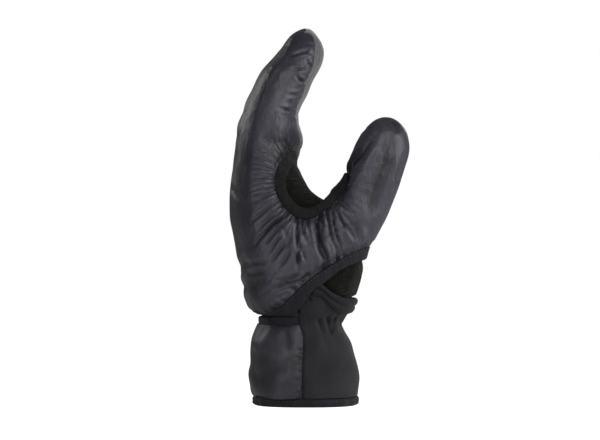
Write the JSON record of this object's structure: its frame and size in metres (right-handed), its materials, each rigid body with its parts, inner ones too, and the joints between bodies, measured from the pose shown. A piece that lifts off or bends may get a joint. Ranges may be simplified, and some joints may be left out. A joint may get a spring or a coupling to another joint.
{
  "type": "glove with overmitt",
  "caption": "Left-hand winter glove with a padded overmitt over its fingers and thumb, a round grip opening at the palm and a gathered wrist cuff.",
  "frame": {"origin": "middle of the hem's opening, level with the hem's bottom edge, where the hand goes in", "axes": "+Z from the hem to the fingertips, +X to the palm side, -X to the back of the hand, -Y to the thumb side, +Y to the little-finger side"},
  "size_m": [0.1286, 0.1081, 0.273],
  "materials": {
    "shell_nylon": "satin, calendered nylon",
    "palm_nylon": "satin, light grey nylon",
    "elastic_band": "matte knitted elastic",
    "fleece": "matte fleece",
    "softshell": "matte stretch weave"
  },
  "bodies": {
    "root": {"overmitt_shell": "shell_nylon", "overmitt_finger_panel": "palm_nylon", "grip_opening_band": "elastic_band", "overmitt_edge_band": "elastic_band", "glove_hand": "fleece", "finger_stalls": "fleece", "thumb_stall": "fleece", "wrist_sleeve": "softshell", "palm_welt": "softshell", "cuff_pocket_panel": "shell_nylon", "pocket_band": "elastic_band", "hem_band": "elastic_band"}
  },
  "joints": []
}
